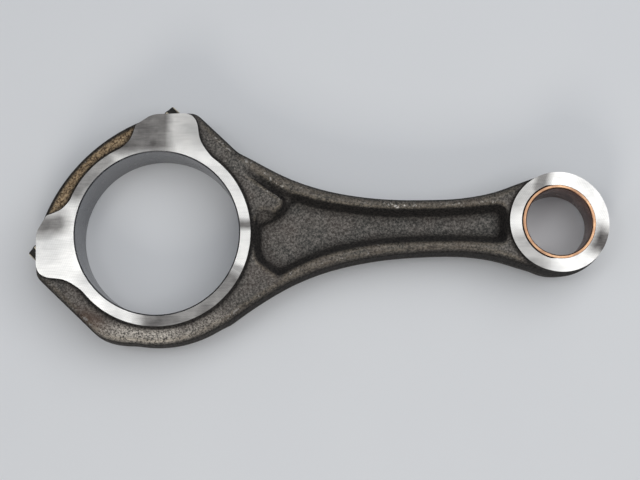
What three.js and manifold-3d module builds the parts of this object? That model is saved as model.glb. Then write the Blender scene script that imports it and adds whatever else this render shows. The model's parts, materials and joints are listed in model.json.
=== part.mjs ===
// Connecting rod for a mid-size diesel engine, lying on its side, in millimetres.
//
// The forging is made whole and then split across the big end, as the real one is fractured. The rod
// frame has its origin at the big-end bore centre, +X along the shank to the small end and +Z through
// the thickness. The cap frame is the rod frame turned about +Z, so that its +Y is the direction in
// which the cap lifts off; in it a point is written (across, along).

import * as THREE from "three";
import * as BufferGeometryUtils from "three/addons/utils/BufferGeometryUtils.js";
import Module from "manifold-3d";

// Driving dimensions
const CENTRE_DISTANCE = 216;
const THICKNESS = 32;
const SPLIT_ANGLE = THREE.MathUtils.degToRad(45);
const JOINT_GAP = 0.3;

// Big end
const BIG_BORE_R = 44;
const THRUST_RING_R = 50.2;
const BIG_END_R = 61.2;
const CAP_CROWN_R = 95;
const CAP_CROWN_HALF_ANGLE = THREE.MathUtils.degToRad(29.5);
const CAP_HEIGHT = 59.2;
const FLANK_HALF_WIDTH = 62.6;

// Small end
const EYE_R = 28.3;
const BUSH_BORE_R = 18;
const BUSH_OUTER_R = 19.9;
const BUSH_SEAT_GAP = 0.3;
const BUSH_EDGE_CHAMFER = 0.6;
const BUSH_END_GAP = 0.1;
const WEDGE_START_X = CENTRE_DISTANCE - 6.3;
const WEDGE_ANGLE = THREE.MathUtils.degToRad(11);

// Forging
const FORGED_HALF_HEIGHT = 13.8;
const BLANK_DRAFT = 1.7;
const EAR_DRAFT = 2.2;
const EYE_DRAFT = 1.4;
const PARTING_LAND = 0.6;
const WEB_HALF_THICKNESS = 3.5;
const POCKET_DRAFT = 3;
const SHANK_END_HALF_WIDTH = 18;

// Cap bolts
const BOLT_OFFSET = 51.2;
const BOLT_SEAT = 32;
const BOLT_SEAT_R = 9.6;
const CAP_HOLE_R = 5.9;
const THREAD_HOLE_R = 5.6;
const THREAD_HOLE_DEPTH = 21;
const THREAD_HOLE_CONE = 2.5;
const BOLT_TIP = -18;
const BOLT_TIP_R = 4.4;
const THREAD_R = 5.3;
const THREAD_END = 5;
const WAIST_R = 4.7;
const WAIST_END = 24;
const BOLT_SHANK_R = 5.5;
const BOLT_TAPER = 1;
const BOLT_SEAT_GAP = 0.3;
const FLANGE_R = 8.8;
const FLANGE_RIM = 1.3;
const FLANGE_HEIGHT = 3.2;
const HEAD_R = 5.9;
const HEAD_LOBES = 6;
const HEAD_LOBE_DEPTH = 0.9;
const HEAD_TOP = 45.5;
const HEAD_CHAMFER = 0.6;

// Facets
const BORE_SEGMENTS = 96;
const EYE_SEGMENTS = 64;
const BOLT_SEGMENTS = 36;
const OUTLINE_SEGMENTS = 12;
const SPLINE_SEGMENTS = 3;
const POCKET_SEGMENTS = 6;
const LOBE_POINTS = 10;
const POINT_SPACING = 0.05;
const FAR = 400;

const wasm = await Module();
wasm.setup();

const STEEL_FORGED = { color: 0x3d3833, roughness: 0.55, metalness: 0.8 };
const STEEL_BOLT = { color: 0x55524c, roughness: 0.45, metalness: 0.85 };
const BRONZE = { color: 0xa8694a, roughness: 0.35, metalness: 0.9 };

// Solids

function toSolid(geometry) {
  const bare = geometry.clone();
  bare.deleteAttribute("normal");
  bare.deleteAttribute("uv");
  const merged = BufferGeometryUtils.mergeVertices(bare);
  const vertProperties = Float32Array.from(merged.getAttribute("position").array);
  const triVerts = Uint32Array.from(merged.getIndex().array);
  return new wasm.Manifold(new wasm.Mesh({ numProp: 3, vertProperties, triVerts }));
}

function toGeometry(solid) {
  const { vertProperties, triVerts } = solid.getMesh();
  const geometry = new THREE.BufferGeometry();
  geometry.setAttribute("position", new THREE.BufferAttribute(vertProperties, 3));
  geometry.setIndex(new THREE.BufferAttribute(triVerts, 1));
  geometry.computeVertexNormals();
  return geometry;
}

function addAll(first, ...others) {
  return others.reduce((sum, other) => sum.add(other), first);
}

function cutAll(first, ...others) {
  return others.reduce((rest, other) => rest.subtract(other), first);
}

function namedMesh(name, geometry, finish) {
  const mesh = new THREE.Mesh(geometry, new THREE.MeshStandardMaterial(finish));
  mesh.name = name;
  return mesh;
}

// The outline as straight steps, without the near-double points where two of its curves meet.
function stepped(outline, segments = OUTLINE_SEGMENTS) {
  const points = outline.getPoints(segments);
  const distinct = points.filter((point, i) => point.distanceTo(points.at(i - 1)) > POINT_SPACING);
  return new THREE.Shape(distinct);
}

// A forging leaves its die both ways, so its sides lean in from the parting line at mid-thickness to
// both faces. The outline is drawn at the parting line.
function drafted(outline, halfHeight, draft) {
  const geometry = new THREE.ExtrudeGeometry(outline, {
    depth: PARTING_LAND,
    bevelThickness: halfHeight - PARTING_LAND / 2,
    bevelSize: draft,
    bevelOffset: -draft,
    bevelSegments: 1,
  });
  return geometry.translate(0, 0, -PARTING_LAND / 2);
}

function uprightCylinder(radius, height, x, segments) {
  const geometry = new THREE.CylinderGeometry(radius, radius, height, segments);
  return geometry.rotateX(Math.PI / 2).translate(x, 0, 0);
}

// Big-end outlines, in the cap frame

function bigEndOutline() {
  const crownCentre = CAP_HEIGHT - CAP_CROWN_R;
  const crownStart = Math.PI / 2 - CAP_CROWN_HALF_ANGLE;
  const crownEnd = Math.PI / 2 + CAP_CROWN_HALF_ANGLE;
  const crownEdgeX = CAP_CROWN_R * Math.cos(crownStart);
  const crownEdgeY = crownCentre + CAP_CROWN_R * Math.sin(crownStart);
  const bulgeEnd = new THREE.Vector2(-51.4, -33.2);
  const flankFoot = new THREE.Vector2(60.4, -10);
  const outline = new THREE.Shape();
  outline.moveTo(FLANK_HALF_WIDTH, -10);
  outline.lineTo(FLANK_HALF_WIDTH, 29);
  outline.quadraticCurveTo(FLANK_HALF_WIDTH, 32.2, 60.3, 34.5);
  outline.lineTo(52.2, 42.6);
  outline.quadraticCurveTo(49.8, 45, crownEdgeX, crownEdgeY);
  outline.absarc(0, crownCentre, CAP_CROWN_R, crownStart, crownEnd);
  outline.quadraticCurveTo(-49.8, 45, -52.2, 42.6);
  outline.lineTo(-60.3, 34.5);
  outline.quadraticCurveTo(-FLANK_HALF_WIDTH, 32.2, -FLANK_HALF_WIDTH, 29);
  outline.lineTo(-FLANK_HALF_WIDTH, -12.5);
  outline.quadraticCurveTo(-FLANK_HALF_WIDTH, -22, bulgeEnd.x, bulgeEnd.y);
  outline.absarc(0, 0, BIG_END_R, bulgeEnd.angle(), flankFoot.angle());
  return outline;
}

// The machined pad over one bolt. Its outline is drawn at the parting line, and its inner corner lies
// inside the bore.
function earOutline(side) {
  const outline = new THREE.Shape();
  outline.moveTo(side * 12, 12);
  outline.lineTo(side * 4, 44);
  outline.lineTo(side * 10.5, 50);
  outline.bezierCurveTo(side * 18, 48.9, side * 27, 46, side * 34, 51.9);
  outline.lineTo(side * 43.6, 49.6);
  outline.quadraticCurveTo(side * 46.7, 48.3, side * 49.3, 45.5);
  outline.lineTo(side * 59, 35.8);
  outline.bezierCurveTo(side * 61.6, 33.2, side * 62.4, 28.5, side * 59.6, 24.9);
  outline.bezierCurveTo(side * 55.8, 20.4, side * 51.3, 16, side * 51.4, 4);
  outline.lineTo(side * 44, -1);
  return outline;
}

// Shank outline, in the rod frame. Both sides have the same flare, but the lower one runs on further
// round the big end. The outline closes inside the big end.
function shankOutline() {
  const flare = [
    [51.7, 40.2],
    [69.5, 30.2],
    [87, 23.3],
    [105, 18.9],
    [125, 16.2],
    [148, 15.3],
    [165, 15.8],
    [181, 18.3],
    [195, 22.8],
    [207, 26.8],
  ];
  const upperSide = flare.map(([x, y]) => new THREE.Vector2(x, y));
  const lowerSide = flare.map(([x, y]) => new THREE.Vector2(x, -y)).reverse();
  const [eyeCorner, ...backToBigEnd] = lowerSide;
  const outline = new THREE.Shape();
  outline.moveTo(44.3, 44.3);
  outline.splineThru(upperSide);
  outline.lineTo(CENTRE_DISTANCE, SHANK_END_HALF_WIDTH);
  outline.lineTo(CENTRE_DISTANCE, -SHANK_END_HALF_WIDTH);
  outline.lineTo(eyeCorner.x, eyeCorner.y);
  outline.splineThru([...backToBigEnd, new THREE.Vector2(37.8, -49.6)]);
  outline.lineTo(20, -57.8);
  outline.lineTo(15, -35);
  outline.lineTo(30, 30);
  return outline;
}

// The hollow between the flanges of the I-beam, drawn at the forged face. At the big end it wraps
// round the nose of the upper bolt's boss and runs up beside it.
function pocketOutline() {
  const outline = new THREE.Shape();
  outline.moveTo(53, -3);
  outline.quadraticCurveTo(52, -14, 58.5, -20.5);
  outline.quadraticCurveTo(62.8, -24.6, 68, -22.2);
  outline.splineThru([
    new THREE.Vector2(87, -15.4),
    new THREE.Vector2(106, -11),
    new THREE.Vector2(128, -9.2),
    new THREE.Vector2(160, -9.2),
    new THREE.Vector2(182, -10.8),
  ]);
  outline.quadraticCurveTo(188, -11, 188.3, -6);
  outline.lineTo(188.3, 6);
  outline.quadraticCurveTo(188, 11, 182, 10.8);
  outline.splineThru([
    new THREE.Vector2(160, 9.2),
    new THREE.Vector2(128, 9.6),
    new THREE.Vector2(106, 12),
    new THREE.Vector2(87, 15.6),
    new THREE.Vector2(77.5, 18.4),
  ]);
  outline.quadraticCurveTo(69.5, 21, 70, 13.5);
  outline.quadraticCurveTo(70, 6.5, 64, 3.2);
  outline.quadraticCurveTo(57, 0, 53, -3);
  return outline;
}

// Cutters

function pocketCutter() {
  const depth = FORGED_HALF_HEIGHT - WEB_HALF_THICKNESS;
  const geometry = new THREE.ExtrudeGeometry(stepped(pocketOutline(), POCKET_SEGMENTS), {
    depth: THICKNESS,
    bevelThickness: depth,
    bevelSize: POCKET_DRAFT,
    bevelOffset: -POCKET_DRAFT,
    bevelSegments: 1,
  });
  return toSolid(geometry.translate(0, 0, FORGED_HALF_HEIGHT));
}

// Everything above the sloping face of the wedge-shaped small end.
function wedgeCutter(drop) {
  const geometry = new THREE.BoxGeometry(FAR, FAR, FAR);
  geometry.translate(FAR / 2, 0, FAR / 2);
  geometry.rotateY(WEDGE_ANGLE);
  return toSolid(geometry.translate(WEDGE_START_X, 0, THICKNESS / 2 - drop));
}

function mirroredBelow(solid) {
  return solid.mirror([0, 0, 1]);
}

// The half of space on the cap's side of the joint, or on the rod's.
function jointSide(direction) {
  const geometry = new THREE.BoxGeometry(2 * FAR, FAR, FAR);
  geometry.translate(0, direction * (FAR / 2 + JOINT_GAP / 2), 0);
  return toSolid(geometry.rotateZ(SPLIT_ANGLE));
}

// A cylinder along a bolt axis, from one height to another above the joint.
function boltAxisCylinder(side, radius, from, to, endRadius = radius) {
  const geometry = new THREE.CylinderGeometry(radius, endRadius, to - from, BOLT_SEGMENTS);
  geometry.translate(side * BOLT_OFFSET, (from + to) / 2, 0);
  return toSolid(geometry.rotateZ(SPLIT_ANGLE));
}

// Rod and cap

function wholeForging() {
  const bigEnd = toSolid(
    drafted(stepped(bigEndOutline()), FORGED_HALF_HEIGHT, BLANK_DRAFT).rotateZ(SPLIT_ANGLE),
  );
  const shank = toSolid(drafted(stepped(shankOutline(), SPLINE_SEGMENTS), FORGED_HALF_HEIGHT, BLANK_DRAFT));
  const ears = [-1, 1].map((side) =>
    toSolid(drafted(stepped(earOutline(side)), THICKNESS / 2, EAR_DRAFT).rotateZ(SPLIT_ANGLE)),
  );
  const ring = toSolid(uprightCylinder(THRUST_RING_R, THICKNESS, 0, BORE_SEGMENTS));
  const circle = new THREE.Shape().absarc(0, 0, EYE_R, 0, 2 * Math.PI);
  const eyeGeometry = drafted(stepped(circle, EYE_SEGMENTS), THICKNESS / 2, EYE_DRAFT);
  const eye = toSolid(eyeGeometry.translate(CENTRE_DISTANCE, 0, 0));
  const pocket = pocketCutter();
  const beam = cutAll(addAll(bigEnd, shank), pocket, mirroredBelow(pocket));
  return addAll(beam, ring, eye, ...ears);
}

function machined(forging) {
  const bigBore = toSolid(uprightCylinder(BIG_BORE_R, 2 * THICKNESS, 0, BORE_SEGMENTS));
  const eyeBoreR = BUSH_OUTER_R + BUSH_SEAT_GAP;
  const eyeBore = toSolid(uprightCylinder(eyeBoreR, 2 * THICKNESS, CENTRE_DISTANCE, EYE_SEGMENTS));
  const wedge = wedgeCutter(0);
  return cutAll(forging, bigBore, eyeBore, wedge, mirroredBelow(wedge));
}

function rodBody(forging) {
  const coneEnd = -THREAD_HOLE_DEPTH - THREAD_HOLE_CONE;
  const threads = [-1, 1].flatMap((side) => [
    boltAxisCylinder(side, THREAD_HOLE_R, -THREAD_HOLE_DEPTH, FAR),
    boltAxisCylinder(side, THREAD_HOLE_R, coneEnd, -THREAD_HOLE_DEPTH, 0),
  ]);
  return toGeometry(cutAll(forging.intersect(jointSide(-1)), ...threads));
}

function rodCap(forging) {
  const boltWays = [-1, 1].flatMap((side) => [
    boltAxisCylinder(side, CAP_HOLE_R, -FAR, FAR),
    boltAxisCylinder(side, BOLT_SEAT_R, BOLT_SEAT, FAR),
  ]);
  return toGeometry(cutAll(forging.intersect(jointSide(1)), ...boltWays));
}

// Bush, revolved about the small end's axis and faced off with the wedge

function pistonPinBush() {
  const halfLength = THICKNESS / 2 - BUSH_END_GAP;
  const chamferR = BUSH_BORE_R + BUSH_EDGE_CHAMFER;
  const chamferZ = halfLength - BUSH_EDGE_CHAMFER;
  const profile = [
    [BUSH_BORE_R, -chamferZ],
    [chamferR, -halfLength],
    [BUSH_OUTER_R, -halfLength],
    [BUSH_OUTER_R, halfLength],
    [chamferR, halfLength],
    [BUSH_BORE_R, chamferZ],
    [BUSH_BORE_R, -chamferZ],
  ].map(([r, y]) => new THREE.Vector2(r, y));
  const ring = new THREE.LatheGeometry(profile, EYE_SEGMENTS).rotateX(Math.PI / 2);
  const wedge = wedgeCutter(BUSH_END_GAP);
  return toGeometry(cutAll(toSolid(ring.translate(CENTRE_DISTANCE, 0, 0)), wedge, mirroredBelow(wedge)));
}

// Cap bolt, with its axis on Y and its zero at the joint

// The head's six lobes, turned so that one crest faces the top of the rod.
function lobedHead() {
  const points = [];
  const count = HEAD_LOBES * LOBE_POINTS;
  for (let i = 0; i < count; i += 1) {
    const angle = (2 * Math.PI * i) / count;
    const radius = HEAD_R - HEAD_CHAMFER - (HEAD_LOBE_DEPTH * (1 + Math.cos(HEAD_LOBES * angle))) / 2;
    points.push(new THREE.Vector2(radius * Math.cos(angle), radius * Math.sin(angle)));
  }
  const bottom = BOLT_SEAT + BOLT_SEAT_GAP + FLANGE_RIM;
  const geometry = new THREE.ExtrudeGeometry(new THREE.Shape(points), {
    depth: HEAD_TOP - bottom - 2 * HEAD_CHAMFER,
    bevelThickness: HEAD_CHAMFER,
    bevelSize: HEAD_CHAMFER,
    bevelSegments: 1,
  });
  return geometry.rotateX(-Math.PI / 2).translate(0, bottom + HEAD_CHAMFER, 0);
}

function boltStem() {
  const seat = BOLT_SEAT + BOLT_SEAT_GAP;
  const profile = [
    [0, BOLT_TIP],
    [BOLT_TIP_R, BOLT_TIP],
    [THREAD_R, BOLT_TIP + BOLT_TAPER],
    [THREAD_R, THREAD_END],
    [WAIST_R, THREAD_END + BOLT_TAPER],
    [WAIST_R, WAIST_END],
    [BOLT_SHANK_R, WAIST_END + BOLT_TAPER],
    [BOLT_SHANK_R, seat],
    [FLANGE_R, seat],
    [FLANGE_R, seat + FLANGE_RIM],
    [HEAD_R, seat + FLANGE_HEIGHT],
    [0, seat + FLANGE_HEIGHT],
  ].map(([r, y]) => new THREE.Vector2(r, y));
  return new THREE.LatheGeometry(profile, BOLT_SEGMENTS);
}

function capBolt(name, side) {
  const solid = addAll(toSolid(boltStem()), toSolid(lobedHead()));
  const bolt = namedMesh(name, toGeometry(solid), STEEL_BOLT);
  bolt.position.x = side * BOLT_OFFSET;
  return bolt;
}

// Assembly

const finishedForging = machined(wholeForging());

const capBolts = new THREE.Group();
capBolts.rotation.z = SPLIT_ANGLE;
capBolts.add(capBolt("cap_bolt_upper", 1), capBolt("cap_bolt_lower", -1));

const connectingRod = new THREE.Group();
connectingRod.add(
  namedMesh("rod_body", rodBody(finishedForging), STEEL_FORGED),
  namedMesh("rod_cap", rodCap(finishedForging), STEEL_FORGED),
  namedMesh("piston_pin_bush", pistonPinBush(), BRONZE),
  capBolts,
);

// The part's own origin is at the middle of its base.
const bounds = new THREE.Box3().setFromObject(connectingRod, true);
const middle = bounds.getCenter(new THREE.Vector3());
connectingRod.position.set(-middle.x, -middle.y, -bounds.min.z);

export default connectingRod;
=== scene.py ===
# %% [markdown]
# # A fracture-split connecting rod
# The rod lies on its side on a pale table. Its CAD model gives every size and place; this script makes
# the looks around it. Each piece is made in the order of the real workshop: a hot forging is pressed,
# shot-peened dark, milled and bored bright, and its big end is then cracked in two across the bore.

# %% Load the CAD frame
import json
import math

import bmesh
import bpy
import numpy
from mathutils import Matrix, Vector, geometry, noise


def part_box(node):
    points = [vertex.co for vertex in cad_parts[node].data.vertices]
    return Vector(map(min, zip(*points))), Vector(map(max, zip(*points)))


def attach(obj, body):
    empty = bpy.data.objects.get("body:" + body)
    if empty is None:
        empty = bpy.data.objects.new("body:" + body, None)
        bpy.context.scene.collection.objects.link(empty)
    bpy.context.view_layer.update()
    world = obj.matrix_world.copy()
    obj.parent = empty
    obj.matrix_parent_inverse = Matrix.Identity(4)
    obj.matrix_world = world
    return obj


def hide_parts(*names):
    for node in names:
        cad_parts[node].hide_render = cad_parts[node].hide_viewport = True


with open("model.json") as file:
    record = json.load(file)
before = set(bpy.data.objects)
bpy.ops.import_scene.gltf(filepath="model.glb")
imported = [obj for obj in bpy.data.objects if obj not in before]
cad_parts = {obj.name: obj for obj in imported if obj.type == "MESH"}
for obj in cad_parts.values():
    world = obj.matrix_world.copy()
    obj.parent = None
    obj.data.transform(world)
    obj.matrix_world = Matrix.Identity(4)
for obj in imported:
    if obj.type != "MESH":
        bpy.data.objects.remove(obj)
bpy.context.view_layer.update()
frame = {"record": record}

# %% [markdown]
# ## Two centres to measure from
# A connecting rod is drawn from the centres of its two bores. The big bore's centre is the middle of the
# opening that the CAD record keeps free for the crank pin, and the small bore's is the middle of its bush.
# Shapes below are drawn in millimetres about the big bore, with X along the shank, and `PLACE` puts a
# finished mesh where the CAD part is. The cap lifts off along a line turned 45 degrees from the shank:
# `CAP` turns a shape drawn with its Y along that line.

# %% Centres and frames
MM = 0.001
openings = {opening["name"]: opening for opening in frame["record"]["physics"]["openings"]}
pin_low, pin_high = (Vector(corner) for corner in openings["big_end_bore_square"]["box_m"])
bush_low, bush_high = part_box("piston_pin_bush")
BIG_END = (pin_low + pin_high) / 2
SMALL_END = (bush_low + bush_high) / 2
CENTRES = (SMALL_END - BIG_END).length / MM
cap_low, cap_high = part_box("rod_cap")
THICKNESS = (cap_high.z - cap_low.z) / MM
PLACE = Matrix.Translation(BIG_END) @ Matrix.Scale(MM, 4)
CAP = Matrix.Rotation(math.radians(45), 4, "Z")
print(f"centres {CENTRES:.1f} mm apart, {THICKNESS:.1f} mm thick")

# %% [markdown]
# ## Camera and light
# The camera looks down on the rod, a little from the big end's lower side. Its place is in metres, and
# two directions say where it looks and which way is up for it.

# %% Camera
CAMERA_AT = Vector((0.0043, -0.1008, 0.7003))
CAMERA_LOOKS = Vector((-0.005, 0.132, -0.991)).normalized()
CAMERA_UP = Vector((0.028, 0.991, 0.131)).normalized()

scene = bpy.context.scene
camera = bpy.data.objects.new("camera", bpy.data.cameras.new("camera"))
scene.collection.objects.link(camera)
camera.data.lens = 71
camera.data.sensor_width = 36
camera.data.clip_end = 20
right = CAMERA_LOOKS.cross(CAMERA_UP).normalized()
axes = Matrix((right, right.cross(CAMERA_LOOKS), -CAMERA_LOOKS)).transposed()
camera.matrix_world = Matrix.Translation(CAMERA_AT) @ axes.to_4x4()
scene.camera = camera
print("camera", [round(v, 3) for v in CAMERA_AT])

# %% [markdown]
# Polished steel shows only what is around it, so the milled faces need something bright to mirror. One
# wide softbox does most of the work and gives the soft shadow. Small ones fill the far side and put a
# glint on the ears, on the lower flange and on the small end's slope. A dim, cool room lights the rest.

# %% Lights
def softbox(name, at, size, power, colour=(1, 1, 1)):
    """A square area light that faces the middle of the rod."""
    light = bpy.data.lights.new(name, "AREA")
    light.shape = "SQUARE"
    light.size = size
    light.energy = power
    light.color = colour
    lamp = bpy.data.objects.new(name, light)
    scene.collection.objects.link(lamp)
    lamp.location = at
    lamp.rotation_euler = (Vector(at) * -1).to_track_quat("-Z", "Y").to_euler()
    print(f"{name}: {power} W")


softbox("key", (0.55, 0.3, 1.3), 1.6, 11)
softbox("fill", (-0.95, 0.1, 1.1), 0.7, 1.2)
softbox("ear_light", (-0.45, 0.05, 1.25), 0.3, 1.1)
softbox("front_light", (-0.25, -1.05, 0.7), 0.4, 3.5, (1, 0.95, 0.88))
softbox("wedge_light", (1.15, 0.2, 1.1), 0.5, 0.9)

world = bpy.data.worlds.new("room")
world.use_nodes = True
world.node_tree.nodes["Background"].inputs["Color"].default_value = (0.86, 0.89, 0.95, 1)
world.node_tree.nodes["Background"].inputs["Strength"].default_value = 0.22
scene.world = world
scene.view_settings.view_transform = "Standard"

# %% [markdown]
# ## Shader maths in plain Python
# Blender's materials are graphs of nodes. A `Wire` is one output of such a node. Adding or multiplying
# wires adds Math nodes, so a recipe reads as an expression, and `node` adds any other node: its settings
# first, then its sockets.

# %% The Wire class
class Wire:
    """One output socket in a material, with Python's operators as Math nodes."""

    def __init__(self, tree, socket=None):
        self.tree = tree
        self.socket = socket

    def node(self, kind, settings, inputs, output=0):
        made = self.tree.nodes.new(kind)
        for key, value in settings.items():
            setattr(made, key, value)
        for key, value in inputs.items():
            if isinstance(value, Wire):
                self.tree.links.new(value.socket, made.inputs[key])
            else:
                made.inputs[key].default_value = value
        return Wire(self.tree, made.outputs[output])

    def maths(self, operation, first, second):
        return self.node("ShaderNodeMath", {"operation": operation}, {0: first, 1: second})

    def __add__(self, other):
        return self.maths("ADD", self, other)

    __radd__ = __add__

    def __sub__(self, other):
        return self.maths("SUBTRACT", self, other)

    def __rsub__(self, other):
        return self.maths("SUBTRACT", other, self)

    def __mul__(self, other):
        return self.maths("MULTIPLY", self, other)

    __rmul__ = __mul__


# %% [markdown]
# A few recipes that the finishes share: cloudy noise of a stated grain size, a limited ramp from one
# value to another, a mix of two colours, a bump, soft-edged patches in stated places, and the last node
# of all, the surface itself.

# %% Recipes
def cloud(place, size, detail=3.0, rough=0.55):
    """Noise from 0 to 1 whose clouds are about `size` metres across."""
    sockets = {"Vector": place, "Scale": 1 / size, "Detail": detail, "Roughness": rough}
    return place.node("ShaderNodeTexNoise", {}, sockets, "Fac")


def between(value, low, high, to_low=0.0, to_high=1.0):
    """`value` from low to high, as a straight ramp from to_low to to_high, limited at both ends."""
    sockets = {"Value": value, "From Min": low, "From Max": high, "To Min": to_low, "To Max": to_high}
    return value.node("ShaderNodeMapRange", {}, sockets, "Result")


def mixed(amount, first, second):
    """One colour turning into another."""
    return amount.node("ShaderNodeMix", {"data_type": "RGBA"}, {0: amount, 6: first, 7: second}, 2)


def bumped(height, distance, strength=1.0, below=None):
    """A surface direction roughened by a height from 0 to 1 that stands for `distance` metres."""
    sockets = {"Height": height, "Distance": distance, "Strength": strength}
    if below is not None:
        sockets["Normal"] = below
    return height.node("ShaderNodeBump", {}, sockets, "Normal")


def rod_point(x, y):
    """A point of the top face, given in millimetres from the big bore's centre, as a place in metres."""
    return PLACE @ Vector((x, y, THICKNESS / 2))


PATCH_WOBBLE = 3 * MM
PATCH_SOFTEST = 4


def patch(place, x, y, half_x, half_y, turn, warp):
    """1 inside a turned box and 0 outside it, with a soft, cloudy edge. Both faces get the same patch."""
    moved = place.node("ShaderNodeVectorMath", {"operation": "SUBTRACT"}, {0: place, 1: rod_point(x, y)}, 0)
    angle = (0, 0, math.radians(-turn))
    turned = moved.node("ShaderNodeMapping", {"vector_type": "POINT"}, {0: moved, 2: angle}, 0)
    inside = []
    for axis, half in ((0, half_x), (1, half_y)):
        apart = place.node("ShaderNodeSeparateXYZ", {}, {0: turned}, axis)
        apart = place.maths("ABSOLUTE", apart, 0.0) + warp * PATCH_WOBBLE
        soft = min(half * 0.6, PATCH_SOFTEST) * MM
        inside.append(between(apart, half * MM - soft, half * MM + soft, 1, 0))
    return inside[0] * inside[1]


def patches(place, rows, warp):
    """Several patches as one mask. Each row is a patch, and ends with how strong it is."""
    whole, *others = [patch(place, *shape, warp) * strength for *shape, strength in rows]
    for other in others:
        whole = place.maths("MAXIMUM", whole, other)
    return whole


def new_material(name, diffuse):
    """An empty material, its object coordinates and its surface node."""
    material = bpy.data.materials.new(name)
    material.use_nodes = True
    material.diffuse_color = diffuse
    tree = material.node_tree
    place = Wire(tree).node("ShaderNodeTexCoord", {}, {}, "Object")
    return material, place, tree.nodes["Principled BSDF"]


def feed(surface, sockets):
    """Numbers are set on the surface's own sockets, and wires are linked to them."""
    for key, value in sockets.items():
        if isinstance(value, Wire):
            surface.id_data.links.new(value.socket, surface.inputs[key])
        else:
            surface.inputs[key].default_value = value


# %% [markdown]
# ## Forged, peened steel
# Hot forging leaves a scale, and shot-peening beats it into a dark brown-grey skin of tiny dents. Light
# grains are painted into its colour as glints, and painted glint patches brighten the big end's lower
# edge. Crests that touch other parts are rubbed bright. Steep walls and inner corners get painted shade:
# their colour is darkened where shade falls. A seam runs round the middle of the walls, where the two dies
# met and the flash was sheared off. Where most of this is comes from the mesh itself, through attributes
# that are made further down: `wear` is 1 on crests, the corner-shade attribute is 1 in inner corners,
# `steep` is 1 on upright walls, and `tan` marks the rusty bloom on the cap's crown.

# %% Forged steel
# centre x, y, half sizes, turn in degrees, how strong
STAINED_PATCHES = [(-37, -47, 8, 6, -30, 0.55)]
# Painted glint: in these patches the skin's grains are brightened, as where light glints on the big end's
# lower edge.
PAINTED_GLINT_PATCHES = [(-13, -56, 25, 7, 3, 1.0), (22, -54, 15, 6, 18, 0.6)]


def attribute(place, name):
    """One of the mesh's own attributes, as a number."""
    return place.node("ShaderNodeAttribute", {"attribute_name": name}, {}, "Fac")


def peened_steel():
    material, place, surface = new_material("peened_steel", (0.06, 0.055, 0.05, 1))
    wear, hollow, steep, tan = (attribute(place, name) for name in ("wear", "hollow", "steep", "tan"))
    dents = cloud(place, 1.25 * MM, 3, 0.75)
    grit = cloud(place, 0.65 * MM, 2, 0.7)
    scale = cloud(place, 17 * MM, 5)
    warp = cloud(place, 9 * MM, 3) - 0.5
    # Painted glints: the highest grains are mixed towards a light colour, standing in for light glittering on
    # the dents.
    painted_sparkle = between(grit, 0.62, 0.72)
    nicks = between(cloud(place, 1.3 * MM, 3) + cloud(place, 11 * MM) * 0.9, 1.10, 1.18)

    skin = mixed(between(scale, 0.38, 0.62), (0.040, 0.040, 0.037, 1), (0.062, 0.052, 0.046, 1))
    skin = mixed(between(dents, 0.42, 0.66) * 0.9, skin, (0.215, 0.198, 0.18, 1))
    skin = mixed(painted_sparkle * 0.6, skin, (0.42, 0.40, 0.36, 1))
    crown = mixed(between(dents, 0.40, 0.62), (0.060, 0.030, 0.013, 1), (0.50, 0.36, 0.20, 1))
    crown = mixed(painted_sparkle * 0.7, crown, (0.80, 0.70, 0.52, 1))
    skin = mixed(tan, skin, crown)
    skin = mixed(patches(place, STAINED_PATCHES, warp), skin, (0.115, 0.070, 0.050, 1))
    # Painted glint patches: the dents and grains inside them are made bright, standing in for glints of
    # light.
    painted_glint = patches(place, PAINTED_GLINT_PATCHES, warp)
    skin = mixed(painted_glint * between(dents + grit, 0.85, 1.2), skin, (0.66, 0.61, 0.54, 1))
    rubbed = between(wear, 0.2, 0.8) * between(grit + dents, 0.85, 1.15)
    skin = mixed(rubbed * 0.5, skin, (0.22, 0.18, 0.125, 1))
    bare = between(wear, 0.5, 0.85) * nicks
    skin = mixed(bare * 0.8, skin, (0.66, 0.64, 0.61, 1))
    # Painted shade: steep walls and inner corners are darkened in the colour, as where shade falls, and lose
    # their metal sheen.
    painted_shade = between(hollow * 1.2 + between(steep, 0.20, 0.58), 0, 1) * 0.94
    painted_dark = mixed(between(dents, 0.4, 0.7), (0.008, 0.0076, 0.008, 1), (0.040, 0.036, 0.033, 1))
    skin = mixed(painted_shade, skin, painted_dark)
    height = place.node("ShaderNodeSeparateXYZ", {}, {0: place}, 2)
    off_seam = place.maths("ABSOLUTE", height - THICKNESS / 2 * MM, 0.0) + (grit - 0.5) * MM
    seam = between(off_seam, 0.3 * MM, 0.7 * MM, 1, 0) * between(steep, 0.8, 0.95)
    skin = mixed(seam * 0.6, skin, (0.13, 0.12, 0.11, 1))

    feed(surface, {
        "Base Color": skin,
        "Metallic": between(bare, 0, 1, 0.35, 0.95) * (1 - painted_shade),
        "Roughness": between(dents, 0.3, 0.7, 0.54, 0.40) - bare * 0.12 + painted_shade * 0.5,
        "Normal": bumped(grit, 0.05 * MM, 0.8, bumped(dents, 0.18 * MM, 0.9)),
        "Specular IOR Level": 0.25,
    })
    return material


# %% [markdown]
# ## Milled faces
# The thrust faces are cut with a wide face mill, whose inserts leave arcs that cross each other into a
# fine diagonal weave. Soft dark patches with fine streaks are painted reflections: they darken the faces
# where the mirror-like steel would show something dark, in patches and in bands across the narrow ring.
# A patch is a blurred box: its centre and half sizes are in millimetres, about the big bore, and it can be
# turned.

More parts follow.
